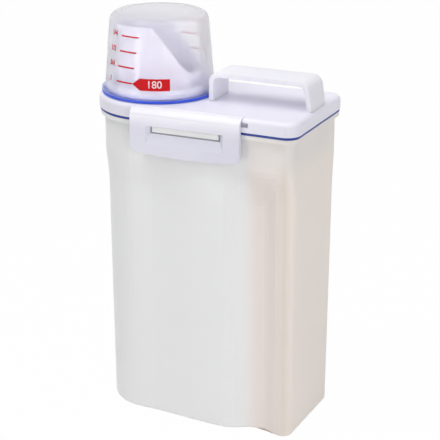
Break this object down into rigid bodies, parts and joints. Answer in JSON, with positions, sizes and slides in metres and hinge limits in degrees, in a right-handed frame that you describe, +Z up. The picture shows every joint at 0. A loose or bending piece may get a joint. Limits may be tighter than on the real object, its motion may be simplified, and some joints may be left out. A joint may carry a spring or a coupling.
{
  "type": "rice bin",
  "caption": "Tall narrow rice bin with a snap-latched lid, a slanted pouring spout capped by a clear measuring cup, and a carry handle.",
  "frame": {"origin": "middle of the footprint, on the surface the bin stands on", "axes": "+Z up; +X towards the handle end, -X towards the spout and cup; one latch on the -Y side (the side seen in the picture), one on the +Y side"},
  "size_m": [0.169, 0.1012, 0.2964],
  "materials": {
    "bin_plastic": "translucent milky polypropylene, satin",
    "lid_plastic": "white with a faint lavender tint, satin",
    "latch_plastic": "white with a faint lavender tint, satin",
    "handle_plastic": "white with a faint lavender tint, satin",
    "spout_plastic": "white with a faint lavender tint, satin",
    "lid_seal": "blue silicone, satin",
    "cup_seal": "blue silicone, satin",
    "cup_plastic": "clear with a faint lavender tint, glossy",
    "scale_print": "red print"
  },
  "bodies": {
    "bin": {"bin_body": "bin_plastic"},
    "lid": {"lid_shell": "lid_plastic", "lid_gasket": "lid_seal", "pour_spout": "spout_plastic", "cup_gasket": "cup_seal", "carry_handle": "handle_plastic"},
    "cup": {"measuring_cup": "cup_plastic", "cup_scale": "scale_print"},
    "front_latch": {"front_latch": "latch_plastic"},
    "back_latch": {"back_latch": "latch_plastic"}
  },
  "joints": [
    {"name": "lid_lift", "type": "slide", "parent": "bin", "child": "lid", "axis": [0, 0, 1], "range_m": [0, 0.016]},
    {"name": "cup_lift", "type": "slide", "parent": "lid", "child": "cup", "axis": [0, 0, 1], "range_m": [0, 0.065]},
    {"name": "front_latch_hinge", "type": "hinge", "parent": "lid", "child": "front_latch", "pos_m": [0.0025, -0.04295, 0.2375], "axis": [-1, 0, 0], "range_deg": [0, 100]},
    {"name": "back_latch_hinge", "type": "hinge", "parent": "lid", "child": "back_latch", "pos_m": [0.0025, 0.04295, 0.2375], "axis": [1, 0, 0], "range_deg": [0, 100]}
  ],
  "couplings": [
    {"joint": "front_latch_hinge", "follows": "lid_lift", "rad_per_m": 109},
    {"joint": "back_latch_hinge", "follows": "lid_lift", "rad_per_m": 109}
  ]
}
